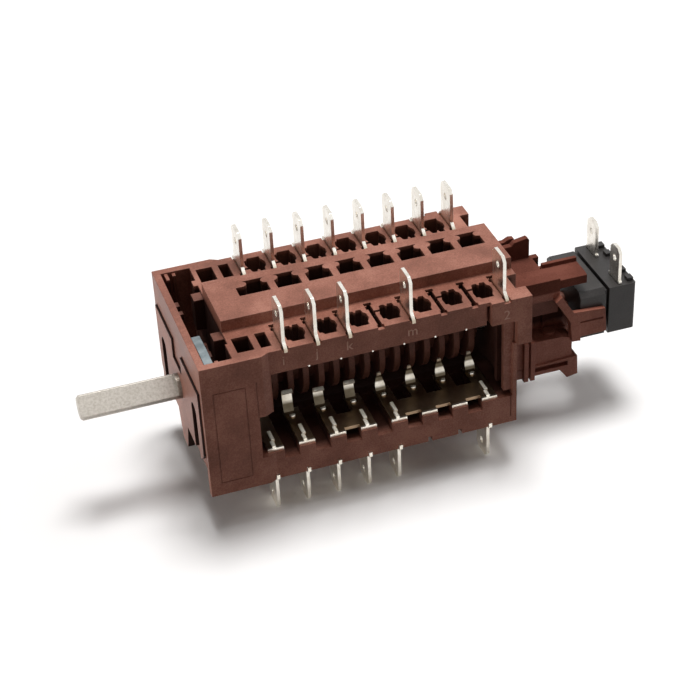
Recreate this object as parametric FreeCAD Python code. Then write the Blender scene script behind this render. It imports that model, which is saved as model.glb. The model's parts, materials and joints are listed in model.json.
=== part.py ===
import FreeCAD, Part
import math
import os

# Oven selector switch: a rotary cam switch in a moulded block, with tab terminals
# along its top and bottom edges, and a small snap switch in a bracket behind it.
# Millimetres. X runs back from the front face along the spindle, Y to the far side,
# Z up. The origin is where the spindle's axis meets the front face.

# front plate with the two fixing slots
fixing_spacing = 28.0
fixing_width = 4.3
fixing_slot_top = 4.4
plate_edge = 5.55
plate_thickness = 1.6
plate_proud = 0.5
plate_top_below_top = 7.6
plate_drop_below_top = 27.4
plate_gap = 0.25
stem_width = 7.4
stem_below_top = 12.6
boss_diameter = 11.0
boss_depth = 0.9

# block
side_wall = 1.9
axis_below_top = 18.3
axis_above_bottom = 17.0
end_margin = 6.0
front_wall = 1.7
side_step = 1.0
front_block_length = 14.2
step_slope = 1.8
rear_block_length = 9.9
rear_slot_width = 0.9
rear_slot_inset = 1.6
rear_slot_depth = 5.0
rear_step_below_top = 12.8
rear_step_depth = 3.2
ridge_height = 2.9
ridge_start = 8.0
ridge_near = -9.1
ridge_far = 7.5
panel_start = 2.5
panel_width = 7.6
panel_below_top = 7.0
panel_height = 25.0
engraving = 0.15
engraved_line = 0.25

# tunnel for the drum, open on both sides
deck_thickness = 6.0
floor_thickness = 7.6
tunnel_start = 16.3
tunnel_low_start = 12.7
tunnel_low_below_top = 16.2
rear_wall = 1.0
upper_rear_wall = 3.5
channel_depth = 2.3
rib_width = 1.4
rib_depth = 2.0

# front chamber for the detent
chamber_length = 7.0
chamber_floor = 2.4
post_gap = 1.0

# terminal rows
pitch = 7.5
cells = 8
first_slot = 20.0
low_row_shift = -4.0
near_tabs = (0, 1, 2, 4, 7)
low_tabs = (0, 1, 2, 3, 4, 7)
low_far_tabs = (0, 2, 4, 7)
tab_thickness = 0.8
tab_width = 6.3
tab_rise = 10.1
low_tab_drop = 10.0
tab_bevel = 1.1
tab_hole = 1.7
tab_hole_from_tip = 3.2
shoulder_rise = 1.3
foot_width = 9.6
foot_from_wall = 0.5
slot_clearance = 0.1
slot_from_wall = 2.05
slot_end = 11.4
slot_head = 1.8
slot_head_length = 1.0
slot_stub_start = 8.8
slot_stub_length = 1.2
slot_recess = 0.8
ledge_width = 1.6
ledge_depth = 0.7
shank_length = 5.0

# openings in the deck
vent_width = 4.6
vent_end_width = 3.2
vent_length = 6.3
vent_from_wall = 6.3
vent_tooth = 0.8
tee_width = 5.8
tee_length = 3.5
tee_near = -0.8
tee_neck = 3.4
tee_neck_length = 2.2
tee_ears = 5.0
tee_lobe = 1.0
first_tee_extra = 1.6
square_near = 3.4
square_length = 5.8
square_depth = 11.0

# spindle, drum and detent
spindle_diameter = 6.0
spindle_flat = 4.6
spindle_reach = 24.4
spindle_bevel = 0.5
flat_angle = 45.0
spindle_clearance = 0.05
running_clearance = 0.3
drum_radius = 9.7
drum_trough_gap = 0.6
disc_shift = 0.25
drum_core = 4.6
disc_thickness = 1.4
cam_depth = 1.5
lobe_span = 55.0
drum_end_gap = 0.6
wheel_radius = 8.6
wheel_notch = 1.5
wheel_notches = 12
wheel_thickness = 4.4

# contact blades
blade_width = 2.4
blade_tip_width = 1.1
blade_waist = 1.4
saddle_blades = 3
blade_thickness = 0.4
blades = 7
blade_shift = 2.1
blade_gap = 0.5
blade_foot_gap = 0.16
blade_foot_inset = 1.6
rivet_diameter = 1.5
rivet_height = 0.5

# plates that carry the blades
plate_metal = 0.8
plate_width = 3.8
plate_shift = 0.15
plate_near_edge = 1.5
plate_past_root = 1.6
rivet_before_root = 1.3
prong_rise = 0.6
prong_near = 1.6
prong_near_length = 2.1
prong_far = 4.0
prong_far_length = 3.5
prong_bend = 0.2
foot_rise = 1.2
plate_groups = ((0,), (1,), (2, 3), (4, 5, 6, 7))
bridge_near_edge = 2.9
bridge_far_edge = 8.4

# rear bracket
bracket_inset = 0.3
bracket_wall = 1.3
arm_top = 11.4
arm_thickness = 2.2
arm_length = 19.9
arm_inset = 0.9
arm_far = 1.3
arm_slit = 1.0
rail_height = 1.0
ledge_top = 10.3
cheek_top = 12.6
cheek_low = 7.4
cheek_length = 12.4
shelf_low = 1.8
fin_inset = 4.5
fin_top = 15.8
fin_length = 10.8
back_fin_inset = 2.0
back_fin_length = 7.9
leg_thickness = 1.6
jaw_thickness = 1.2
lower_top = -4.2
lower_low = -13.6
lower_length = 15.9
hook_low = -16.3

# snap switch
snap_gap = 17.7
snap_width = 20.0
snap_top = 6.9
snap_height = 12.9
snap_length = 14.5
snap_joint = 0.3
snap_split = 7.2
snap_bevel = 1.3
snap_groove = 0.6
snap_tab_width = 4.8
snap_tab_rise = 9.3
snap_tab_from_side = 3.5
snap_tab_from_start = 10.6
snap_clearance = 0.05
plunger_diameter = 3.0
plunger_reach = 1.6

# derived places
body_width = fixing_spacing + 2 * (plate_edge + plate_gap + side_wall)
body_height = axis_below_top + axis_above_bottom
body_length = first_slot + (cells - 1) * pitch + end_margin
top_z = axis_below_top
bottom_z = -axis_above_bottom
near_y = -body_width / 2
far_y = body_width / 2
deck_z = top_z - deck_thickness
floor_z = bottom_z + floor_thickness
plate_top = floor_z + plate_metal
step_z = top_z - rear_step_below_top
rear_block_start = body_length - rear_block_length
tunnel_end = body_length - upper_rear_wall
lower_end = body_length - rear_step_depth
lower_inside = lower_end - rear_wall
chamber_end = front_wall + chamber_length
row_y = body_width / 2 - foot_from_wall - foot_width / 2
spindle_radius = spindle_diameter / 2
spindle_end = lower_end - 0.2
blade_hook = drum_radius + blade_gap
blade_root = blade_hook - blade_foot_inset
snap_start = body_length + snap_gap
snap_low = snap_top - snap_height
snap_tab_spacing = snap_width - 2 * snap_tab_from_side
bracket_near = snap_width / 2 - bracket_inset
arm_near = bracket_near - arm_inset
fin_place = bracket_near - fin_inset
back_fin_place = bracket_near - back_fin_inset


def vec(x, y, z):
    return FreeCAD.Vector(x, y, z)


def block(x0, x1, y0, y1, z0, z1):
    return Part.makeBox(x1 - x0, y1 - y0, z1 - z0, vec(x0, y0, z0))


def face(points):
    return Part.Face(Part.makePolygon(points + [points[0]]))


def across(profile, y0, y1):
    """Profile of (x, z) points, extruded from y0 to y1."""
    return face([vec(x, y0, z) for x, z in profile]).extrude(vec(0, y1 - y0, 0))


def along(profile, x0, x1):
    """Profile of (y, z) points, extruded from x0 to x1."""
    return face([vec(x0, y, z) for y, z in profile]).extrude(vec(x1 - x0, 0, 0))


def upward(profile, z0, z1):
    """Profile of (x, y) points, extruded from z0 to z1."""
    return face([vec(x, y, z0) for x, y in profile]).extrude(vec(0, 0, z1 - z0))


def rod_x(x0, x1, radius, y=0.0, z=0.0):
    return Part.makeCylinder(radius, x1 - x0, vec(x0, y, z), vec(1, 0, 0))


def rod_z(z0, z1, radius, x, y):
    return Part.makeCylinder(radius, z1 - z0, vec(x, y, z0), vec(0, 0, 1))


def joined(shapes):
    return shapes[0].multiFuse(shapes[1:]).removeSplitter()


def without(shape, tools):
    return shape.cut(Part.makeCompound(tools)).removeSplitter()


def both_sides(shape):
    return [shape, shape.mirror(vec(0, 0, 0), vec(0, 1, 0))]


def slot_x(index):
    return first_slot + index * pitch


def low_x(index):
    return slot_x(index) + low_row_shift


def blade_x(index):
    return slot_x(index) + blade_shift


def plate_x(index):
    return low_x(index) + plate_shift


def off_wall(side, near, far):
    """Range in y between two distances from the side wall."""
    return sorted((side * (body_width / 2 - near), side * (body_width / 2 - far)))


def tab_profile(side, tip, shoulder, root, width=tab_width, foot=foot_width):
    """Outline of a tab terminal in (y, z), from its root to its bevelled tip."""
    way = 1 if tip > root else -1
    half = width / 2
    half_foot = foot / 2
    centre = side * row_y
    left = [(-half, root), (-half, top_z - ledge_depth), (-half_foot, top_z - ledge_depth)]
    left.append((-half_foot, shoulder - way * (half_foot - half) * 0.8))
    left += [(-half, shoulder), (-half, tip - way * tab_bevel), (-half + tab_bevel, tip)]
    right = [(-y, z) for y, z in reversed(left)]
    return [(centre + y, z) for y, z in left + right]


def tab(side, x, tip, shoulder, root):
    """One tab terminal standing across the row, with the hole for the receptacle."""
    way = 1 if tip > root else -1
    half = tab_thickness / 2
    blade = along(tab_profile(side, tip, shoulder, root), x - half, x + half)
    hole_z = tip - way * tab_hole_from_tip
    hole = rod_x(x - tab_thickness, x + tab_thickness, tab_hole / 2, side * row_y, hole_z)
    return blade.cut(hole)


def top_tab(side, index):
    return tab(side, slot_x(index), top_z + tab_rise, top_z + shoulder_rise, top_z - shank_length)


def carrier(side, index):
    """Plate lying on the floor under a blade, with the head of the blade's rivet."""
    x = plate_x(index)
    half = plate_width / 2
    y0, y1 = sorted((side * (body_width / 2 - plate_near_edge), side * (blade_root - plate_past_root)))
    plate = block(x - half, x + half, y0, y1, floor_z, plate_top)
    if index == 0:
        return plate
    rivet_y = side * (blade_root + rivet_before_root)
    head = rod_z(plate_top - 0.1, plate_top + rivet_height, rivet_diameter / 2, blade_x(index - 1) + 1.2, rivet_y)
    top = [e for e in head.Edges if e.BoundBox.ZMin > plate_top + rivet_height - 0.01]
    return plate.fuse(head.makeFillet(rivet_height * 0.6, top))


def low_tab(side, index):
    """Bottom terminal: tab, feet below the block, shank through the floor and two prongs in the plate."""
    x = low_x(index)
    half = tab_thickness / 2
    blade_half = tab_width / 2
    foot_half = foot_width / 2
    centre = side * row_y
    tip = bottom_z - low_tab_drop
    foot_top = bottom_z + foot_rise
    left = [(-blade_half + tab_bevel, tip), (-blade_half, tip + tab_bevel), (-blade_half, bottom_z - 0.6)]
    left += [(-foot_half, bottom_z), (-foot_half, foot_top), (-blade_half, foot_top), (-blade_half, floor_z)]
    outline = [(centre + y, z) for y, z in left]
    outline += [(centre - y, z) for y, z in reversed(left)]
    sheet = along(outline, x - half, x + half)
    sheet = sheet.cut(rod_x(x - 1, x + 1, tab_hole / 2, centre, tip + tab_hole_from_tip))
    prongs = []
    for near, length in ((prong_near, prong_near_length), (prong_far, prong_far_length)):
        y0, y1 = off_wall(side, near, near + length)
        bent = x + (prong_bend if near == prong_far else -prong_bend)
        prongs.append(block(bent - half, bent + half, y0, y1, floor_z, plate_top + prong_rise))
    return joined([carrier(side, index), sheet] + prongs)


def conductor(side, group, tabs):
    """Neighbouring plates stamped from one sheet, joined by links."""
    pieces = [low_tab(side, index) if index in tabs else carrier(side, index) for index in group]
    y0, y1 = off_wall(side, bridge_near_edge, bridge_far_edge)
    for index in group[1:]:
        x0 = plate_x(index - 1) + plate_width / 2
        x1 = plate_x(index) - plate_width / 2
        pieces.append(block(x0, x1, y0, y1, floor_z, plate_top))
    return joined(pieces) if len(pieces) > 1 else pieces[0]


def terminal_slot(side, index):
    """Slot through the deck for a top terminal: a ledge at the wall, a stub and a wider head."""
    half = tab_thickness / 2 + slot_clearance
    x = slot_x(index)
    high = top_z + 1
    y0, y1 = off_wall(side, slot_from_wall, slot_end)
    cut = block(x - half, x + half, y0, y1, deck_z - 1, high)
    y0, y1 = off_wall(side, slot_end - slot_head_length, slot_end)
    head = block(x - slot_head / 2, x + slot_head / 2, y0, y1, deck_z - 1, high)
    y0, y1 = off_wall(side, slot_stub_start, slot_stub_start + slot_stub_length)
    stub = block(x - slot_head / 2, x + half, y0, y1, top_z - slot_recess, high)
    y0, y1 = off_wall(side, -1, foot_from_wall + ledge_width)
    ledge = block(x - half - 0.3, x + half + 0.3, y0, y1, top_z - ledge_depth, high)
    link_end = x + pitch / 2 - vent_width / 2 + 0.5
    y0, y1 = off_wall(side, vent_from_wall + 0.8, vent_from_wall + 1.6)
    link = block(x, link_end, y0, y1, top_z - slot_recess - 0.4, high)
    pieces = [cut, head, stub, ledge]
    return joined(pieces + [link] if index < cells - 1 else pieces)


def low_slot(side, index):
    """Slot through the floor for a bottom terminal, wider at the foot."""
    half = tab_thickness / 2 + slot_clearance
    x = low_x(index)
    y0, y1 = sorted((side * (row_y - tab_width / 2 - slot_clearance), side * (row_y + tab_width / 2 + slot_clearance)))
    shank = block(x - half, x + half, y0, y1, bottom_z - 1, floor_z + 1)
    y0, y1 = sorted((side * (body_width / 2 + 1), side * (row_y - foot_width / 2 - slot_clearance)))
    foot = block(x - half, x + half, y0, y1, bottom_z - 1, bottom_z + foot_rise + slot_clearance)
    return shank.fuse(foot)


def vent(side, index):
    """Barrel-shaped opening between two terminals, with a small tooth at its inner end."""
    x = slot_x(index) + pitch / 2
    y = side * (body_width / 2 - vent_from_wall)
    half = vent_width / 2
    end = vent_end_width / 2
    long = vent_length / 2
    right = [(-0.12, long - vent_tooth), (0.12, long - vent_tooth), (0.4, long), (end, long)]
    right += [(end + 0.1, long - 1.2), (half, long - 1.9), (half + 0.1, -0.4), (half - 0.3, -1.4)]
    right += [(end + 0.1, -1.9), (end, -long)]
    left = [(-end + 0.3, -long), (-end - 0.1, -long + 0.8), (-half, -long + 0.9), (-half - 0.1, -0.2)]
    left += [(-half + 0.4, long - 1.7), (-end, long - 0.3), (-end + 0.4, long), (-0.4, long)]
    outline = [(x + dx, y - side * dy) for dx, dy in right + left]
    return upward(outline, deck_z - 1, top_z + 1)


def tee_opening(index):
    """T-shaped opening in the ridge, its neck pinched by two round lobes."""
    x = slot_x(index)
    half = tee_width / 2
    left = half + (first_tee_extra if index == 0 else 0)
    z0 = deck_z - 1
    z1 = top_z + ridge_height + 1
    wide_end = tee_near + tee_length
    neck_end = wide_end + tee_neck_length
    wide = block(x - left, x + half, tee_near, wide_end, z0, z1)
    neck = block(x - tee_ears / 2, x + tee_ears / 2, wide_end - 0.1, neck_end, z0, z1)
    lobe_x = tee_neck / 2 + tee_lobe
    lobes = []
    for way in (-1, 1):
        lobes.append(rod_z(z0 - 1, z1 + 1, tee_lobe, x + way * lobe_x, wide_end + 1.1))
        inner, outer = sorted((way * lobe_x, way * (lobe_x + 2)))
        lobes.append(block(x + inner, x + outer, wide_end, wide_end + 1.1 + tee_lobe * 0.6, z0 - 1, z1 + 1))
    return joined([wide, neck.cut(Part.makeCompound(lobes))])


def front_opening():
    """Opening in the front wall that the fixing plate closes: two wings round a stem."""
    side = body_width / 2 - side_wall
    stem = stem_width / 2
    high = top_z - plate_top_below_top
    stem_low = top_z - stem_below_top
    outline = [(-side, bottom_z - 1), (-side, high), (-stem, high), (-stem, stem_low)]
    outline += [(-y, z) for y, z in reversed(outline)]
    return along(outline, -1, front_wall + 0.01)


def side_recess():
    """The side between the front and rear blocks is set back, with a slope behind the front block."""
    slope = front_block_length + step_slope
    plan = [(front_block_length, near_y - 1), (front_block_length, near_y), (slope, near_y + side_step)]
    high = plan + [(rear_block_start, near_y + side_step), (rear_block_start, near_y - 1)]
    low = plan + [(body_length + 1, near_y + side_step), (body_length + 1, near_y - 1)]
    slot = block(rear_block_start - rear_slot_width, rear_block_start, near_y, near_y + side_step + rear_slot_inset,
                 top_z - 1 - rear_slot_depth, top_z - 1)
    return [upward(high, step_z - 0.01, top_z + 1), upward(low, bottom_z - 1, step_z), slot]


def side_engraving():
    """Framed panel and a thin line engraved in the near side of the front block."""
    z1 = top_z - panel_below_top
    z0 = z1 - panel_height
    x0 = panel_start
    x1 = panel_start + panel_width
    frame = block(x0, x1, near_y - 1, near_y + engraving, z0, z1)
    frame = frame.cut(block(x0 + engraved_line, x1 - engraved_line, near_y - 2, near_y + 1,
                            z0 + engraved_line, z1 - engraved_line))
    line_x = tunnel_low_start - engraved_line
    line = block(line_x, line_x + engraved_line, near_y - 1, near_y + engraving, top_z - 17, top_z - 6.5)
    end_x = lower_end - 1.6
    groove = block(end_x, end_x + engraved_line, near_y, near_y + side_step + 0.3, floor_z - 6, floor_z + 1)
    return [frame, line, groove]


def channels(side):
    """Channels in the floor between the plates, open at the side."""
    cuts = []
    y0, y1 = sorted((side * (body_width / 2 + 1), side * (blade_root - plate_past_root)))
    for index in range(cells - 1):
        x0 = plate_x(index) + plate_width / 2
        x1 = plate_x(index + 1) - plate_width / 2
        cuts.append(block(x0, x1, y0, y1, floor_z - channel_depth, floor_z + 0.01))
    return cuts


def housing():
    outline = [(0, bottom_z), (lower_end, bottom_z), (lower_end, step_z), (body_length, step_z)]
    outline += [(body_length, top_z), (0, top_z)]
    body = across(outline, near_y, far_y)
    ridge = block(ridge_start, body_length, ridge_near, ridge_far, top_z - 1, top_z + ridge_height)
    body = joined([body, ridge])

    cuts = side_engraving()
    for shape in side_recess():
        cuts += both_sides(shape)
    low_step = top_z - tunnel_low_below_top
    tunnel = [(tunnel_start, deck_z), (tunnel_end, deck_z), (tunnel_end, step_z), (lower_inside, step_z)]
    tunnel += [(lower_inside, floor_z), (tunnel_low_start, floor_z), (tunnel_low_start, low_step)]
    tunnel += [(tunnel_start, low_step)]
    cuts.append(across(tunnel, near_y - 1, far_y + 1))

    chamber_y = body_width / 2 - side_wall
    chamber_low = bottom_z + chamber_floor
    cuts.append(block(front_wall, chamber_end, -chamber_y, chamber_y, chamber_low, top_z + 5))
    cuts.append(front_opening())
    cuts.append(rod_x(front_wall, tunnel_end - 1, spindle_radius + running_clearance))
    cuts.append(rod_x(front_wall, body_length, spindle_radius + spindle_clearance))
    cuts.append(rod_x(tunnel_start, lower_inside, drum_radius + drum_trough_gap))

    high = top_z + 1
    pocket_z = top_z - square_depth
    square_far = square_near + square_length
    for x0, x1 in ((9.8, 13.7), (15.2, 17.6)):
        y0, y1 = off_wall(-1, square_near, square_far)
        cuts += both_sides(block(x0, x1, y0, y1, pocket_z, high))
    for index in range(cells):
        cuts += [terminal_slot(side, index) for side in (-1, 1)]
        cuts.append(tee_opening(index))
    for index in range(cells - 1):
        cuts += [vent(side, index) for side in (-1, 1)]
    cuts += [low_slot(side, index) for side in (-1, 1) for index in range(cells)]
    cuts += channels(-1) + channels(1)
    y0, y1 = off_wall(-1, 4.3, 9.8)
    cuts += both_sides(block(body_length - 2.4, body_length + 1, y0, y1, step_z - 1, top_z + 1))
    body = without(body, cuts)

    added = []
    post_low = wheel_radius + post_gap
    added.append(block(chamber_end - 1.0, chamber_end + 0.5, 11.6, 14.0, post_low, top_z))
    added.append(block(chamber_end - 0.6, chamber_end + 0.5, -chamber_y - 0.1, -14.0, post_low, top_z))
    added.append(block(front_wall + 0.8, front_wall + 1.6, 16.9, chamber_y + 0.1, post_low, top_z - 0.3))
    for y0, y1 in ((-11.0, -7.8), (6.4, 9.6)):
        added.append(block(chamber_end - 2.4, chamber_end + 0.5, y0, y1, post_low, top_z - 0.6))
    for y0, y1 in ((2.4, 3.8), (5.9, 7.8)):
        added.append(block(front_wall - 0.5, front_wall + 1.1, y0, y1, post_low, top_z - 0.8))
    y0, y1 = off_wall(-1, side_wall, side_wall + 1.2)
    added += both_sides(block(front_wall + 2.6, front_wall + 3.4, y0, y1, post_low, top_z - 0.5))
    for from_wall in (side_step + 0.9, side_step + 5.0):
        y0, y1 = off_wall(-1, from_wall, from_wall + rib_width)
        rib = block(lower_inside - rib_depth, lower_inside + 0.5, y0, y1, plate_top + 0.5, deck_z + 0.5)
        added += both_sides(rib)
    return joined([body] + added)


def front_plate():
    """Fixing plate: wings with upright slots, a bearing for the spindle and a tongue below."""
    side = fixing_spacing / 2 + plate_edge
    stem = stem_width / 2 + plate_gap
    high = top_z - plate_top_below_top - plate_gap
    stem_low = top_z - stem_below_top - plate_gap
    low = top_z - plate_drop_below_top
    tongue = 4.4
    tongue_low = bottom_z + 0.6
    half = [(side, low + 2.4), (side, high), (stem, high), (stem, stem_low)]
    base = [(tongue - 2.2, tongue_low), (tongue, low), (side - 2.4, low)]
    outline = base + half
    outline += [(-y, z) for y, z in reversed(outline)]
    plate = along(outline, -plate_proud, plate_thickness - plate_proud)
    cuts = [rod_x(-2, 3, spindle_radius + spindle_clearance)]
    radius = fixing_width / 2
    for side_sign in (-1, 1):
        y = side_sign * fixing_spacing / 2
        z = fixing_slot_top - radius
        cuts.append(block(-2, 3, y - radius, y + radius, low - 1, z))
        cuts.append(rod_x(-2, 3, radius, y, z))
    boss = rod_x(-plate_proud, front_wall + boss_depth, boss_diameter / 2)
    return without(joined([plate, boss]), cuts)


def spindle():
    """Round steel spindle with a flat along the end that the knob fits."""
    radius = spindle_radius
    shaft = rod_x(-spindle_reach, spindle_end, radius)
    shaft = shaft.makeChamfer(spindle_bevel, [e for e in shaft.Edges if e.BoundBox.XMax < 1 - spindle_reach])
    flat = block(-spindle_reach - 1, -1.5, -radius - 1, radius + 1, spindle_flat - radius, radius + 1)
    flat.rotate(vec(0, 0, 0), vec(1, 0, 0), flat_angle)
    return shaft.cut(flat)


def cam_disc(x, phase):
    """One disc of the drum, its rim raised over an arc as a cam."""
    x0 = x - disc_thickness / 2
    x1 = x + disc_thickness / 2
    ring = rod_x(x0, x1, drum_radius)
    reach = drum_radius * 3
    lobes = []
    for start, span in ((phase, lobe_span), (phase + 85.0, lobe_span / 2)):
        a0 = math.radians(start)
        a1 = math.radians(start + span)
        wedge = [(0.0, 0.0), (reach * math.cos(a0), reach * math.sin(a0)), (reach * math.cos(a1), reach * math.sin(a1))]
        lobes.append(ring.common(along(wedge, x0, x1)))
    return joined([rod_x(x0, x1, drum_radius - cam_depth)] + lobes)


def cam_drum():
    x0 = tunnel_start + drum_end_gap
    x1 = lower_inside - rib_depth - drum_end_gap
    core = rod_x(x0, x1, drum_core)
    discs = []
    x = first_slot + disc_shift
    number = 0
    while x + disc_thickness < x1:
        discs.append(cam_disc(x, -70.0 + (37.0 * number) % 90.0))
        x += pitch / 2
        number += 1
    drum = joined([core] + discs)
    return drum.cut(rod_x(x0 - 1, x1 + 1, spindle_radius))


def detent_wheel():
    """Toothed wheel on the spindle, whose notches hold each position."""
    x0 = front_wall + boss_depth + running_clearance
    x1 = x0 + wheel_thickness
    wheel = rod_x(x0, x1, wheel_radius)
    notches = []
    for number in range(wheel_notches):
        angle = 2 * math.pi * number / wheel_notches
        reach = wheel_radius + wheel_notch * 0.4
        notches.append(rod_x(x0 - 1, x1 + 1, wheel_notch, reach * math.cos(angle), reach * math.sin(angle)))
    return without(wheel, notches + [rod_x(x0 - 1, x1 + 1, spindle_radius)])


def strip(path, thickness, x0, x1):
    """A bent strip: the path of (y, z) points, thickened to one side and extruded along X."""
    offsets = []
    for number, (y, z) in enumerate(path):
        before = path[max(number - 1, 0)]
        after = path[min(number + 1, len(path) - 1)]
        dy = after[0] - before[0]
        dz = after[1] - before[1]
        size = math.hypot(dy, dz)
        offsets.append((y - dz / size * thickness, z + dy / size * thickness))
    return along(list(path) + offsets[::-1], x0, x1)


def blade(side, index):
    """Spring contact standing on its plate beside the drum: the first ones end in a saddle, the rest in a point."""
    x = blade_x(index)
    foot = plate_top + blade_foot_gap
    saddle = index < saddle_blades
    crown = -0.4 if index == 0 else -1.7
    path = [(blade_root, foot), (blade_root + 0.5, foot + 1.2), (blade_hook + 0.9, -6.6)]
    path += [(blade_hook + 1.2, -5.8), (blade_hook + 0.5, -4.4), (blade_hook, crown - 1.2)]
    if saddle:
        path += [(blade_hook + 0.2, crown), (blade_hook + 1.0, crown + 0.5), (blade_hook + 1.8, crown + 0.1)]
    else:
        path.append((blade_hook + 0.3, -1.3))
    path = [(side * y, z) for y, z in path]
    if side > 0:
        path = path[::-1]
    half = blade_width / 2
    bent = strip(path, blade_thickness, x - half, x + half)
    y0, y1 = sorted((side * (blade_hook - 3), side * (blade_hook + 3)))
    cuts = [block(x - half - 1, x + half - blade_waist, y0, y1, foot - 1, -6.9)]
    if not saddle:
        tip = blade_tip_width / 2
        for way in (-1, 1):
            taper = [(x + way * half, -4.6), (x + way * tip, -2.2), (x + way * tip * 0.5, -0.8), (x + way * 3, -0.8)]
            cuts.append(across(taper + [(x + way * 3, -4.6)], y0, y1))
    return bent.cut(Part.makeCompound(cuts))


def detent_leaf():
    """Bent spring leaf in the front chamber that presses into the wheel's notches."""
    x0 = front_wall + 0.4
    x1 = front_wall + 2.4
    path = [(near_y + 2.2, top_z - 7.0), (near_y + 2.3, top_z - 2.1), (near_y + 3.4, top_z - 1.2)]
    path += [(near_y + 9.0, top_z - 1.0), (near_y + 15.2, top_z - 1.4), (near_y + 16.2, top_z - 3.4)]
    path += [(-5.8, wheel_radius - 0.6)]
    return strip(path[::-1], 0.5, x0, x1)


def rear_bracket():
    """Moulded carrier behind the block, with an arm over the snap switch and a jaw at each side of it."""
    base = body_length
    near = -bracket_near
    arm_low = arm_top - arm_thickness
    half = snap_width / 2
    plate = 2.0
    pieces = [block(base, base + plate, near, bracket_near, hook_low + 2.5, cheek_top - 1.0)]
    pieces.append(block(lower_end, base + 0.5, near - 1.0, bracket_near + 1.0, hook_low + 2.5, step_z - 0.2))

    cheek_end = base + cheek_length
    pieces.append(block(base, cheek_end, near, near + bracket_wall, cheek_low, cheek_top))
    pieces.append(block(base, cheek_end, near, near + 3.2, cheek_top - 1.2, cheek_top))
    pieces.append(block(base, cheek_end - 0.6, near + 0.9, near + 2.2, cheek_low - 1.0, cheek_low + 0.5))
    pieces.append(block(base, cheek_end + 0.6, near + 2.2, near + 3.4, shelf_low, cheek_low + 0.5))

    arm_end = base + arm_length
    fin_end = base + fin_length
    arm = [(base, -arm_near), (arm_end - 0.2, -arm_near), (arm_end, -arm_near + 1.5), (arm_end, -arm_far)]
    arm += [(fin_end, -arm_far), (fin_end, -arm_far - arm_slit), (base, -arm_far - arm_slit)]
    pieces.append(upward(arm, arm_low, arm_top))
    pieces.append(block(fin_end + 0.2, arm_end, -arm_far - 1.0, -arm_far, arm_low, arm_top + rail_height))
    pieces.append(block(base, fin_end + 0.5, -arm_far, fin_place + 0.6, ledge_top - 1.5, ledge_top))
    fin = [(base, ledge_top - 1.5), (fin_end, ledge_top - 1.5), (fin_end, fin_top - 0.5), (fin_end - 0.5, fin_top)]
    fin += [(fin_end - 3.9, fin_top - 0.6), (fin_end - 4.6, fin_top - 1.4), (base, fin_top - 1.7)]
    pieces.append(across(fin, fin_place, fin_place + 1.5))
    back_end = base + back_fin_length
    back_fin = [(base, ledge_top - 1.5), (back_end, ledge_top - 1.5), (back_end, fin_top - 1.0)]
    back_fin += [(back_end - 1.2, fin_top - 0.8), (back_end - 2.6, fin_top - 1.5), (base, fin_top - 1.6)]
    pieces.append(across(back_fin, back_fin_place, back_fin_place + 1.4))
    pieces.append(block(base, back_end, fin_place, back_fin_place + 1.0, ledge_top - 1.5, ledge_top))
    pieces.append(block(base, base + 13.6, bracket_near - 3.8, bracket_near - 2.2, lower_low + 2.6, ledge_top - 1.0))

    leg = [(cheek_end - 1.6, cheek_low - 0.4), (cheek_end - 0.1, cheek_low + 0.9), (base + 16.3, 1.7)]
    leg += [(base + 17.2, 0.2), (base + 17.4, -5.4), (base + 15.2, -5.2), (base + 14.6, 0.6)]
    leg_out = near - leg_thickness
    pieces += both_sides(across(leg, leg_out, near + 0.4))
    jaw = [(base + 15.4, 3.0), (base + 23.7, 2.4), (base + 24.2, -4.2), (base + 15.4, -4.4)]
    jaw_y = -half - snap_clearance
    slit = block(base + 17.2, base + 23.2, jaw_y - 3, jaw_y - jaw_thickness + 0.4, -0.4, 0.1)
    pieces += both_sides(across(jaw, jaw_y - jaw_thickness, jaw_y).cut(slit))

    lower_end_x = base + lower_length
    lower = [(base, lower_top - 0.6), (base, lower_low + 2.6), (lower_end_x, lower_low + 2.9)]
    lower += [(lower_end_x, lower_top - 0.8), (lower_end_x - 2.6, lower_top), (base + 6.0, lower_top)]
    pieces.append(across(lower, near, near + 4.6))
    lip = [(base, lower_low), (base + 12.6, lower_low), (base + 13.4, lower_low - 1.0)]
    lip += [(base + 14.6, hook_low), (base + 17.4, hook_low + 0.5), (base + 17.2, lower_low + 3.2)]
    lip += [(base, lower_low + 2.4)]
    pieces.append(across(lip, near - 0.5, near + 3.4))
    groove = block(base + 6.0, lower_end_x - 1.2, near - 1, near + 0.8, lower_low + 1.0, lower_low + 2.3)
    boss = rod_z(lower_top - 1, lower_top + 0.7, 1.5, base + 11.0, near + 3.0)
    pieces.append(boss)
    back = [(base, lower_top), (base, hook_low + 2.5), (lower_end_x, lower_low + 2.9), (lower_end_x, lower_top)]
    pieces.append(across(back, bracket_near - 2.0, bracket_near))
    pieces.append(across(back, near + 4.0, near + 5.4))
    for place in (2.9, 4.6):
        rib_x = base + place
        pieces.append(block(rib_x, rib_x + 1.1, near - 1.3, near + 0.5, lower_low - 0.6, lower_top + 1.0))
    pieces.append(block(base, base + 5.7, near - 0.3, near + 0.5, lower_low, lower_top + 0.5))
    body = joined(pieces).cut(groove)
    clear = block(snap_start - 0.1, snap_start + snap_length, -half - snap_clearance, half + snap_clearance,
                  snap_low - 0.2, snap_top + 0.05)
    return body.cut(clear)


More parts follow.
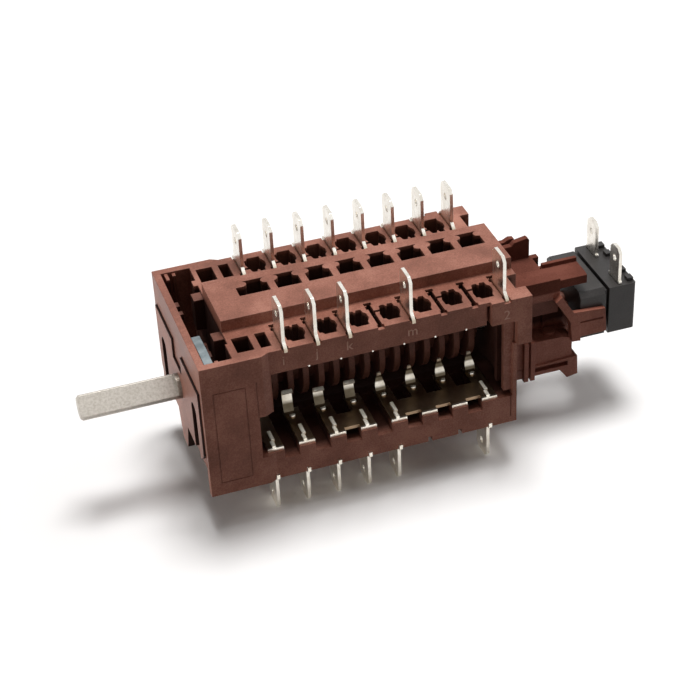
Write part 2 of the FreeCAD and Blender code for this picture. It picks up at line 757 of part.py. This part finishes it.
def snap_front():
    """Front half of the snap switch's case, bevelled along its upper edges and grooved at the joint."""
    x1 = snap_start + snap_split
    half = snap_width / 2
    top = snap_top - 0.1
    outline = [(-half, snap_low + 0.3), (-half, top - snap_bevel), (-half + snap_bevel, top)]
    outline += [(half - snap_bevel, top), (half, top - snap_bevel), (half, snap_low + 0.3)]
    case = along(outline, snap_start, x1)
    rim = block(x1 - snap_groove, x1 + 1, -half - 1, half + 1, snap_low - 1, snap_top + 1)
    inner = block(x1 - snap_groove - 1, x1 + 2, -half + 0.7, half - 0.7, snap_low + 1.0, snap_top - 0.8)
    hole = rod_x(snap_start - 1, snap_start + plunger_reach + 1.2, plunger_diameter / 2 + snap_clearance)
    return without(case, [rim.cut(inner), hole])


def snap_rear():
    x0 = snap_start + snap_split + snap_joint
    x1 = snap_start + snap_length
    half = snap_width / 2
    case = block(x0, x1, -half, half, snap_low, snap_top)
    upright = [e for e in case.Edges if e.BoundBox.ZLength > snap_height * 0.9 and e.BoundBox.XMin > x1 - 0.1]
    case = case.makeFillet(0.6, upright)
    seats = []
    for side in (-1, 1):
        y = side * snap_tab_spacing / 2
        x = snap_start + snap_tab_from_start
        wide = snap_tab_width / 2 + slot_clearance
        seats.append(block(x - 0.5, x + 0.5, y - wide, y + wide, snap_top - 3.0, snap_top + 1))
    bumps = []
    for number in range(5):
        y = -half + 2.0 + number * (snap_width - 4.0) / 4
        bumps.append(block(x1 - 1.8, x1 - 0.3, y - 0.9, y + 0.9, snap_top - 0.3, snap_top + 0.9))
    return without(joined([case] + bumps), seats)


def snap_tab(side):
    y = side * snap_tab_spacing / 2
    x = snap_start + snap_tab_from_start
    half = snap_tab_width / 2
    tip = snap_top + snap_tab_rise
    foot = half + 0.5
    right = [(half - tab_bevel, tip), (half, tip - tab_bevel), (half, snap_top + 0.8), (foot, snap_top + 0.7)]
    right += [(foot, snap_top + 0.05), (half, snap_top), (half, snap_top - 2.8)]
    outline = [(y + dy, z) for dy, z in right]
    outline += [(y - dy, z) for dy, z in reversed(right)]
    blade_shape = along(outline, x - tab_thickness / 2, x + tab_thickness / 2)
    return blade_shape.cut(rod_x(x - 1, x + 1, tab_hole / 2, y, tip - tab_hole_from_tip))


def plunger():
    return rod_x(snap_start - plunger_reach, snap_start + 1.0, plunger_diameter / 2)


def save(name, shape):
    shape.exportStep("parts/" + name + ".step")


def main():
    os.makedirs("parts", exist_ok=True)
    save("switch_housing", housing())
    save("front_plate", front_plate())
    save("spindle", spindle())
    save("cam_drum", cam_drum())
    save("detent_wheel", detent_wheel())
    save("detent_leaf", detent_leaf())
    for index in range(cells):
        save("tab_far_" + str(index), top_tab(1, index))
    for index in near_tabs:
        save("tab_near_" + str(index), top_tab(-1, index))
    for group in plate_groups:
        save("plate_near_" + str(group[0]), conductor(-1, group, low_tabs))
        save("plate_far_" + str(group[0]), conductor(1, group, low_far_tabs))
    for index in range(blades):
        save("blade_near_" + str(index), blade(-1, index))
        save("blade_far_" + str(index), blade(1, index))
    save("rear_bracket", rear_bracket())
    save("snap_case_front", snap_front())
    save("snap_case_rear", snap_rear())
    save("snap_tab_near", snap_tab(-1))
    save("snap_tab_far", snap_tab(1))
    save("snap_plunger", plunger())


main()
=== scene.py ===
import json
import math
import bpy
from mathutils import Matrix, Vector


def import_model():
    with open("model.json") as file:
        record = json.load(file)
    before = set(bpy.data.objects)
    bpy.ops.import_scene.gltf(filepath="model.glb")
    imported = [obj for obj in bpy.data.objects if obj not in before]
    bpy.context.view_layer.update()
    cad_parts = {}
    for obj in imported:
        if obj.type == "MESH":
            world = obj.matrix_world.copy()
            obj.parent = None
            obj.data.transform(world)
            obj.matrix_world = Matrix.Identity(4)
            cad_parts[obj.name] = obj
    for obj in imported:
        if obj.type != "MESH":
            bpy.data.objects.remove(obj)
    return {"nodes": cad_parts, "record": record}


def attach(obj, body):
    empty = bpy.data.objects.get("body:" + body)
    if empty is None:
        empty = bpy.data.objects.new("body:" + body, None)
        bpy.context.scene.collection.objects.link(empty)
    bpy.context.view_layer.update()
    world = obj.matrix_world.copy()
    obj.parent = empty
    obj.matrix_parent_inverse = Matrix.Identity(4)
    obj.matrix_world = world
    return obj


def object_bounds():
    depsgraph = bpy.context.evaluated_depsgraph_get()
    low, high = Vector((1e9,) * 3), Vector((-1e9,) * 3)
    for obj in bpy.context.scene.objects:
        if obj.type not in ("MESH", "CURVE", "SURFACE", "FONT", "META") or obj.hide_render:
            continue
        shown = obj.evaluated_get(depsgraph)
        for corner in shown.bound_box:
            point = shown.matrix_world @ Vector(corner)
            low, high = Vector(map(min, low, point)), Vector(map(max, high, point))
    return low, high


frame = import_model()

cad_box = [list(corner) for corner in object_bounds()]
MM = 0.001


# Shader helpers. Every pattern is worked out from object coordinates, in metres.

def new_material(name):
    mat = bpy.data.materials.new(name)
    mat.use_nodes = True
    nt = mat.node_tree
    bsdf = next(n for n in nt.nodes if n.type == "BSDF_PRINCIPLED")
    return mat, nt, bsdf


def coords(nt, scale=(1, 1, 1)):
    coord = nt.nodes.new("ShaderNodeTexCoord")
    mapping = nt.nodes.new("ShaderNodeMapping")
    mapping.inputs["Scale"].default_value = scale
    nt.links.new(coord.outputs["Object"], mapping.inputs["Vector"])
    return mapping.outputs["Vector"]


def noise(nt, vector, scale, detail, rough):
    node = nt.nodes.new("ShaderNodeTexNoise")
    node.inputs["Scale"].default_value = scale
    node.inputs["Detail"].default_value = detail
    node.inputs["Roughness"].default_value = rough
    nt.links.new(vector, node.inputs["Vector"])
    return node.outputs["Fac"]


def ramp(nt, fac, stops):
    node = nt.nodes.new("ShaderNodeValToRGB")
    elements = node.color_ramp.elements
    while len(elements) < len(stops):
        elements.new(0.5)
    for element, (position, colour) in zip(elements, stops):
        element.position = position
        element.color = (*colour, 1)
    nt.links.new(fac, node.inputs["Fac"])
    return node.outputs["Color"]


def level(nt, fac, low, high):
    """Spread a value of 0 to 1 over a range."""
    node = nt.nodes.new("ShaderNodeMapRange")
    node.inputs["To Min"].default_value = low
    node.inputs["To Max"].default_value = high
    nt.links.new(fac, node.inputs["Value"])
    return node.outputs["Result"]


def math_node(nt, operation, first, second, clamp=False):
    node = nt.nodes.new("ShaderNodeMath")
    node.operation = operation
    node.use_clamp = clamp
    for socket, value in zip(node.inputs, (first, second)):
        if isinstance(value, (int, float)):
            socket.default_value = value
        else:
            nt.links.new(value, socket)
    return node.outputs[0]


def mix_node(nt, factor, first, second, blend="MIX"):
    """Mix two colours. A colour is an output of a node, or three numbers."""
    node = nt.nodes.new("ShaderNodeMix")
    node.data_type = "RGBA"
    node.blend_type = blend
    nt.links.new(factor, node.inputs["Factor"])
    first_colour, second_colour = 6, 7
    for index, value in ((first_colour, first), (second_colour, second)):
        socket = node.inputs[index]
        if isinstance(value, tuple):
            socket.default_value = (*value, 1)
        else:
            nt.links.new(value, socket)
    return node.outputs[2]


def relief(nt, bsdf, height, strength, distance, edge):
    """Bump over the surface, with edges that look rounded to a radius unless it is 0."""
    bump = nt.nodes.new("ShaderNodeBump")
    bump.inputs["Strength"].default_value = strength
    bump.inputs["Distance"].default_value = distance
    nt.links.new(height, bump.inputs["Height"])
    if edge > 0:
        bevel = nt.nodes.new("ShaderNodeBevel")
        bevel.samples = 6
        bevel.inputs["Radius"].default_value = edge
        nt.links.new(bevel.outputs["Normal"], bump.inputs["Normal"])
    nt.links.new(bump.outputs["Normal"], bsdf.inputs["Normal"])


def depth_inside(nt, low, high, soft):
    """0 at and outside a box given in mm, rising to 1 over the soft depth along each axis inside it."""
    split = nt.nodes.new("ShaderNodeSeparateXYZ")
    nt.links.new(coords(nt), split.inputs["Vector"])
    total = None
    for axis in range(3):
        rise = math_node(nt, "SUBTRACT", split.outputs[axis], low[axis] * MM)
        fall = math_node(nt, "SUBTRACT", high[axis] * MM, split.outputs[axis])
        near = math_node(nt, "MINIMUM", rise, fall)
        part = math_node(nt, "MULTIPLY", near, 1 / (soft[axis] * MM), clamp=True)
        total = part if total is None else math_node(nt, "MULTIPLY", total, part)
    return total


def at_least(nt, value, mask, least):
    """The value, raised to a least one where the mask is 1."""
    return math_node(nt, "MAXIMUM", value, math_node(nt, "MULTIPLY", mask, least))


# Materials. A scale is how often a pattern repeats in a metre.

CLOUD_SCALE, SPECK_SCALE, SPARK_SCALE = 90, 2700, 5200
SPECK_SHARE = 0.38
STREAK_SCALE, STAIN_SCALE, FINE_STAIN_SCALE = 2600, 420, 1900
FINISH_SPREAD = 0.08
INSIDE_ROUGHNESS = 0.95
FROSTED_ROUGHNESS = 0.66
# Painted shade on the side faces of the front plate, darkening the seam round it
RIM_SHADE_TINT = (0.10, 0.09, 0.09)


def moulding(name, dark, base, light, rough, grain=0.35, edge=0.22 * MM, inside=(), rim=False, gloss=0.16):
    """Filled thermoset moulding: cloudy colour, fine speckle and a spark-finished surface.
    It has painted shade and a matte finish inside the given boxes, and with a rim it has painted shade on
    its side faces."""
    mat, nt, bsdf = new_material(name)
    vec = coords(nt)
    cloud = noise(nt, vec, CLOUD_SCALE, 4.0, 0.6)
    speck = noise(nt, vec, SPECK_SCALE, 2.0, 0.7)
    fine = math_node(nt, "MULTIPLY", speck, SPECK_SHARE)
    coarse = math_node(nt, "MULTIPLY", cloud, 1 - SPECK_SHARE)
    blend = math_node(nt, "ADD", fine, coarse)
    colour = ramp(nt, blend, [(0.38, dark), (0.5, base), (0.61, light)])
    finish = level(nt, cloud, rough - FINISH_SPREAD, rough + FINISH_SPREAD)
    # Painted shade inside each given box, with a matte finish there
    for box, tint in inside:
        mask = depth_inside(nt, *box)
        colour = mix_node(nt, mask, colour, tint, "MULTIPLY")
        finish = at_least(nt, finish, mask, INSIDE_ROUGHNESS)
    # Painted shade on the side faces, which darkens the seam round the front plate
    if rim:
        normal = nt.nodes.new("ShaderNodeTexCoord").outputs["Normal"]
        split = nt.nodes.new("ShaderNodeSeparateXYZ")
        nt.links.new(normal, split.inputs["Vector"])
        along = math_node(nt, "ABSOLUTE", split.outputs[0], 0.0)
        side = math_node(nt, "LESS_THAN", along, 0.5)
        colour = mix_node(nt, side, colour, RIM_SHADE_TINT, "MULTIPLY")
    nt.links.new(colour, bsdf.inputs["Base Color"])
    nt.links.new(finish, bsdf.inputs["Roughness"])
    bsdf.inputs["Specular IOR Level"].default_value = gloss
    spark = noise(nt, vec, SPARK_SCALE, 3.0, 0.7)
    relief(nt, bsdf, spark, grain, 0.03 * MM, edge)
    return mat


def metal(name, colour, tint, rough_low, rough_high, streaks=(1, 0.2, 1), edge=0.12 * MM, grain=0.2,
          patch=STAIN_SCALE, shade_and_tone=(), frosted=()):
    """Bare or plated metal with drawn streaks and slight stains. It is darker inside the given boxes:
    painted shade on most parts, a plain darker tone on the tab feet.
    A frosted box has a rough finish, as on sheared edges."""
    mat, nt, bsdf = new_material(name)
    bsdf.inputs["Metallic"].default_value = 1.0
    streak = noise(nt, coords(nt, streaks), STREAK_SCALE, 3.0, 0.6)
    stain = noise(nt, coords(nt), patch, 4.0, 0.6)
    shown = ramp(nt, stain, [(0.35, tint), (0.62, colour)])
    # Painted shade in most boxes, a plain darker tone on the tab feet
    for box, darker_tint in shade_and_tone:
        shown = mix_node(nt, depth_inside(nt, *box), shown, darker_tint, "MULTIPLY")
    nt.links.new(shown, bsdf.inputs["Base Color"])
    finish = level(nt, streak, rough_low, rough_high)
    for box in frosted:
        finish = at_least(nt, finish, depth_inside(nt, *box), FROSTED_ROUGHNESS)
    nt.links.new(finish, bsdf.inputs["Roughness"])
    relief(nt, bsdf, streak, grain, 0.02 * MM, edge)
    return mat


# Boxes in mm: low corner, high corner, and the depth over which the effect sets in along each axis
# Painted shade inside the housing, the vents and tee slots of its ridge, and the rear bracket
BLOCK_INSIDE = (1.4, -20.1, -16.5), (77.9, 20.1, 18.1), (1.0, 2.8, 0.8)
RIDGE_INSIDE = (8.4, -8.7, 10.0), (77.9, 7.1, 20.9), (1.0, 1.0, 0.8)
BRACKET_INSIDE = (77.0, -8.6, -3.6), (95.0, 8.0, 9.0), (1.0, 2.0, 1.5)
# Painted shade on the upper arm and cheek of the rear bracket
BRACKET_ARM_SHADE = (76.0, -13.0, 8.8), (110.0, 13.0, 20.0), (0.5, 0.5, 0.5)
TAB_FEET = (10, -25, 9.0), (78, 25, 19.2), (1, 1, 0.8)
# Painted shade on the spindle at its root by the front plate and inside the housing
SPINDLE_ROOT_SHADE = (-2.2, -9, -9), (60, 9, 9), (1.2, 1, 1)
# Painted shade in a brown tone on the contact plates inside the chamber, below the prongs
CONDUCTORS_SHADE = (13, -20.3, -12), (77, 20.3, -8.45), (1, 0.9, 0.1)
PRONGS = (13, -20.6, -8.3), (77, 20.6, 0.0), (0.5, 0.5, 0.2)
# Painted shade on the lower parts of the contact blades, below their bright tips
SADDLE_STEMS_SHADE = (20, -18, -12), (76, 18, -3.0), (1, 2, 1.0)
POINT_STEMS_SHADE = (20, -18, -12), (76, 18, -4.7), (1, 2, 0.5)
POINT_NECKS_SHADE = (20, -18, -4.0), (76, 18, -1.9), (1, 2, 0.4)

# The moulding's dark, middle and light colour, and the tints of its painted shade
BROWN = (0.185, 0.072, 0.048), (0.265, 0.106, 0.073), (0.36, 0.160, 0.115)
RED_BROWN = (0.20, 0.070, 0.047), (0.27, 0.097, 0.066), (0.35, 0.135, 0.095)
DRUM_BROWN = (0.10, 0.040, 0.027), (0.155, 0.062, 0.043), (0.21, 0.09, 0.065)
BLACK = (0.013, 0.011, 0.010), (0.021, 0.018, 0.017), (0.033, 0.029, 0.027)
INK = (0.48, 0.27, 0.21), (0.58, 0.35, 0.28), (0.66, 0.42, 0.34)
# Painted shade inside the housing, its ridge and the rear bracket
INSIDE_SHADE_TINT = (0.17, 0.14, 0.13)
# Painted shade on the upper arm and cheek of the rear bracket
ARM_SHADE_TINT = (0.47, 0.41, 0.40)

# Each metal's clean and stained colour, and the tints of its darker parts: painted shade, and a plain
# darker tone on the tab feet
TIN = (0.80, 0.77, 0.71), (0.66, 0.62, 0.55)
STEEL = (0.505, 0.467, 0.42), (0.39, 0.355, 0.31)
BLUED_STEEL = (0.25, 0.285, 0.295), (0.16, 0.19, 0.20)
SILVERED = (0.95, 0.91, 0.82), (0.78, 0.73, 0.62)
LEAF = (0.74, 0.69, 0.60), (0.52, 0.47, 0.39)
FEET_TINT = (0.60, 0.54, 0.46)
# Painted shade on the spindle root
ROOT_SHADE_TINT = (0.42, 0.38, 0.35)
# Painted shade in a brown tone on the contact plates
CONDUCTOR_SHADE_TINT = (0.32, 0.235, 0.17)
# Painted shade on the stems and necks of the contact blades
STEM_SHADE_TINT = (0.16, 0.14, 0.11)

# Painted shade inside the housing and in its ridge
brown = moulding("brown_moulding", *BROWN, 0.42,
                 inside=((BLOCK_INSIDE, INSIDE_SHADE_TINT), (RIDGE_INSIDE, INSIDE_SHADE_TINT)))
# Painted shade inside the rear bracket and on its upper arm and cheek
red_brown = moulding("red_brown_moulding", *RED_BROWN, 0.40, 0.22,
                     inside=((BRACKET_INSIDE, INSIDE_SHADE_TINT), (BRACKET_ARM_SHADE, ARM_SHADE_TINT)))
# Painted shade on the side faces of the front plate
plate_brown = moulding("front_plate_moulding", *BROWN, 0.42, rim=True)
drum_brown = moulding("drum_moulding", *DRUM_BROWN, 0.5, 0.25)
black = moulding("black_moulding", *BLACK, 0.40, 0.3, gloss=0.34)
print_ink = moulding("terminal_print", *INK, 0.5, 0.2, edge=0)
tinned = metal("tinned_metal", *TIN, 0.22, 0.34, streaks=(1, 1, 0.15), grain=0.08,
               shade_and_tone=((TAB_FEET, FEET_TINT),))
# Painted shade on the spindle root, by the front plate
steel = metal("spindle_steel", *STEEL, 0.34, 0.50, streaks=(0.05, 1, 1), edge=0.15 * MM, grain=0.3,
              patch=FINE_STAIN_SCALE, shade_and_tone=((SPINDLE_ROOT_SHADE, ROOT_SHADE_TINT),))
spring = metal("spring_steel", *BLUED_STEEL, 0.30, 0.42)
# Painted shade in a brown tone on the contact plates inside the chamber
contact = metal("contact_metal", *SILVERED, 0.24, 0.38, edge=0.14 * MM, grain=0.10,
                shade_and_tone=((CONDUCTORS_SHADE, CONDUCTOR_SHADE_TINT),), frosted=(PRONGS,))
# Painted shade on the lower stems of the saddle blades
saddle_metal = metal("saddle_metal", *LEAF, 0.32, 0.42, edge=0, grain=0.01,
                     shade_and_tone=((SADDLE_STEMS_SHADE, STEM_SHADE_TINT),))
# Painted shade on the stems and necks of the point blades
point_metal = metal("point_metal", *LEAF, 0.32, 0.42, edge=0, grain=0.01,
                    shade_and_tone=((POINT_STEMS_SHADE, STEM_SHADE_TINT), (POINT_NECKS_SHADE, STEM_SHADE_TINT)))

by_slot = {
    "brown_moulding": brown,
    "red_brown_moulding": red_brown,
    "drum_moulding": drum_brown,
    "spindle_steel": steel,
    "spring_steel": spring,
    "tinned_metal": tinned,
    "contact_metal": contact,
    "black_moulding": black,
}
SADDLE_BLADES = "012"
by_node = {"front_plate": plate_brown}
for name in frame["nodes"]:
    if name.startswith("blade_"):
        by_node[name] = saddle_metal if name[-1] in SADDLE_BLADES else point_metal
slot_of = {s["node"]: s["material_slot"] for s in frame["record"]["subparts"]}
for name, obj in frame["nodes"].items():
    obj.data.materials.clear()
    obj.data.materials.append(by_node.get(name, by_slot[slot_of[name]]))


def place(obj):
    """Add a piece of the block to the scene."""
    bpy.context.collection.objects.link(obj)
    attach(obj, "block")


# Printed terminal marks on the near side: text and x in mm

MARK_HEIGHT = 3.4
MARK_DEPTH = 0.04
INK_PROUD = 0.03
BEAM_FACE, BEAM_MARKS_Z = -20.7, 14.2
END_FACE, END_MARK_Z = -21.7, 13.4


def mark(text, x, face, z):
    curve = bpy.data.curves.new("mark_" + text, "FONT")
    curve.body = text
    curve.size = MARK_HEIGHT * MM
    curve.extrude = MARK_DEPTH * MM
    curve.align_x = "CENTER"
    obj = bpy.data.objects.new("mark_" + text, curve)
    upright = Matrix.Rotation(math.radians(90), 4, "X")
    obj.matrix_world = Matrix.Translation((x * MM, (face - INK_PROUD) * MM, z * MM)) @ upright
    obj.data.materials.append(print_ink)
    place(obj)


for text, x in (("i", 19.4), ("j", 27.2), ("k", 34.8), ("m", 49.8)):
    mark(text, x, BEAM_FACE, BEAM_MARKS_Z)
mark("2", 72.3, END_FACE, END_MARK_Z)


# Thin moulded web under the arm of the rear bracket, with two ribs on its near face, in mm

WEB_OUTLINE = [(78.0, -9.0), (96.8, -9.0), (97.8, -8.0), (97.8, -6.1), (95.8, -6.1),
               (95.8, 1.0), (91.0, 4.5), (91.0, 9.4), (78.0, 9.4)]
WEB_NEAR, WEB_FAR = -4.2, -3.0
RIBS_X = 83.0, 88.5
RIB_THICKNESS, RIB_NEAR, RIB_FAR = 0.9, -4.9, -4.1
RIB_BOTTOM, RIB_TOP = -5.0, 9.3
WEB_EDGE = 0.2


def bracket_web():
    verts, faces = [], []

    def prism(outline, y0, y1):
        count, start = len(outline), len(verts)
        verts.extend((x * MM, y * MM, z * MM) for y in (y0, y1) for x, z in outline)
        faces.append([start + i for i in range(count)])
        faces.append([start + count + i for i in reversed(range(count))])
        for i in range(count):
            after = (i + 1) % count
            faces.append([start + after, start + i, start + count + i, start + count + after])

    prism(WEB_OUTLINE, WEB_NEAR, WEB_FAR)
    for x in RIBS_X:
        far_x = x + RIB_THICKNESS
        prism([(x, RIB_BOTTOM), (far_x, RIB_BOTTOM), (far_x, RIB_TOP), (x, RIB_TOP)], RIB_NEAR, RIB_FAR)
    mesh = bpy.data.meshes.new("bracket_web")
    mesh.from_pydata(verts, [], faces)
    mesh.materials.append(red_brown)
    obj = bpy.data.objects.new("bracket_web", mesh)
    bevel = obj.modifiers.new("edges", "BEVEL")
    bevel.width = WEB_EDGE * MM
    bevel.segments = 2
    place(obj)


bracket_web()


# Bright ends of the contact rivets along the lower edge of the near beam, in mm

RIVETS = 7
RIVET_RADIUS = 0.27
RIVET_FIRST_X, RIVET_PITCH = 25.2, 7.5
RIVET_Y, RIVET_Z = -20.6, 12.35
RINGS, TURNS = 5, 12


def rivet_end(index):
    name = "rivet_end_" + str(index)
    radius = RIVET_RADIUS * MM
    verts = [(0, 0, radius)]
    for ring in range(1, RINGS):
        tilt = math.pi * ring / RINGS
        for turn in range(TURNS):
            around = 2 * math.pi * turn / TURNS
            verts.append((radius * math.sin(tilt) * math.cos(around),
                          radius * math.sin(tilt) * math.sin(around), radius * math.cos(tilt)))
    verts.append((0, 0, -radius))
    last = 1 + (RINGS - 2) * TURNS
    faces = []
    for turn in range(TURNS):
        after = (turn + 1) % TURNS
        faces.append((0, 1 + turn, 1 + after))
        for start in range(1, last, TURNS):
            faces.append((start + turn, start + TURNS + turn, start + TURNS + after, start + after))
        faces.append((last + turn, len(verts) - 1, last + after))
    mesh = bpy.data.meshes.new(name)
    mesh.from_pydata(verts, [], faces)
    mesh.shade_smooth()
    mesh.materials.append(tinned)
    obj = bpy.data.objects.new(name, mesh)
    x = RIVET_FIRST_X + RIVET_PITCH * index
    obj.matrix_world = Matrix.Translation((x * MM, RIVET_Y * MM, RIVET_Z * MM))
    place(obj)


for index in range(RIVETS):
    rivet_end(index)


# Floor and world: white to the camera and in reflections, dim as a source of light

FLOOR_HALF = 3.0
FLOOR_LIT, FLOOR_SEEN = (0.22, 0.205, 0.195), (0.97, 0.965, 0.96)
FADE_START, FADE_END = 0.24, 0.60
WORLD_LIT, WORLD_SEEN = (0.13, 0.115, 0.108), (1.0, 1.0, 1.0)


def seen_directly(nt):
    path = nt.nodes.new("ShaderNodeLightPath")
    return math_node(nt, "MAXIMUM", path.outputs["Is Camera Ray"], path.outputs["Is Glossy Ray"])


def floor():
    """Floor that keeps the shadow near the switch and fades to plain white away from it."""
    half, z = FLOOR_HALF, cad_box[0][2]
    mesh = bpy.data.meshes.new("floor")
    corners = [(-half, -half, z), (half, -half, z), (half, half, z), (-half, half, z)]
    mesh.from_pydata(corners, [], [(0, 1, 2, 3)])
    obj = bpy.data.objects.new("floor", mesh)
    bpy.context.collection.objects.link(obj)
    mat, nt, bsdf = new_material("floor_white")
    seen = seen_directly(nt)
    nt.links.new(mix_node(nt, seen, FLOOR_LIT, FLOOR_SEEN), bsdf.inputs["Base Color"])
    away = nt.nodes.new("ShaderNodeVectorMath")
    away.operation = "LENGTH"
    nt.links.new(coords(nt), away.inputs[0])
    fade = nt.nodes.new("ShaderNodeMapRange")
    fade.inputs["From Min"].default_value = FADE_START
    fade.inputs["From Max"].default_value = FADE_END
    nt.links.new(away.outputs["Value"], fade.inputs["Value"])
    glow = math_node(nt, "MULTIPLY", fade.outputs["Result"], seen)
    nt.links.new(glow, bsdf.inputs["Emission Strength"])
    bsdf.inputs["Emission Color"].default_value = (1, 1, 1, 1)
    bsdf.inputs["Roughness"].default_value = 0.75
    bsdf.inputs["Specular IOR Level"].default_value = 0.2
    mesh.materials.append(mat)


def world():
    studio = bpy.data.worlds.new("studio")
    bpy.context.scene.world = studio
    studio.use_nodes = True
    nt = studio.node_tree
    background = next(n for n in nt.nodes if n.type == "BACKGROUND")
    nt.links.new(mix_node(nt, seen_directly(nt), WORLD_LIT, WORLD_SEEN), background.inputs["Color"])


def area(name, position, target, width, height, power):
    light = bpy.data.lights.new(name, "AREA")
    light.shape = "RECTANGLE"
    light.size = width
    light.size_y = height
    light.energy = power
    obj = bpy.data.objects.new(name, light)
    bpy.context.collection.objects.link(obj)
    way = (Vector(target) - Vector(position)).normalized()
    obj.matrix_world = Matrix.Translation(position) @ way.to_track_quat("-Z", "Y").to_matrix().to_4x4()


floor()
world()
area("key", (0.14, 0.15, 0.93), (0.05, 0.0, 0.0), width=0.38, height=0.38, power=9.1)
area("right_fill", (0.60, -0.02, 0.50), (0.11, -0.02, -0.027), width=0.35, height=0.35, power=1.1)
area("left_glow", (-0.70, -0.03, 0.03), (0.04, 0.0, 0.0), width=0.5, height=0.08, power=2.1)


# Camera, solved from points of the photo: its axes, its place in metres and its lens in mm

CAMERA_RIGHT = (0.946281, -0.320544, -0.042475)
CAMERA_UP = (0.216909, 0.53187, 0.818575)
CAMERA_BACK = (-0.239798, -0.783815, 0.572827)
CAMERA_PLACE = (-0.0622085, -0.3379431, 0.2459332)
CAMERA_LENS = 93.377

camera = bpy.data.cameras.new("camera")
camera.sensor_width = 36.0
camera.lens = CAMERA_LENS
camera.clip_start = 0.01
camera_obj = bpy.data.objects.new("camera", camera)
bpy.context.collection.objects.link(camera_obj)
camera_rows = list(zip(CAMERA_RIGHT, CAMERA_UP, CAMERA_BACK, CAMERA_PLACE))
camera_obj.matrix_world = Matrix(camera_rows + [(0, 0, 0, 1)])
bpy.context.scene.camera = camera_obj
bpy.context.scene.view_settings.view_transform = "Standard"
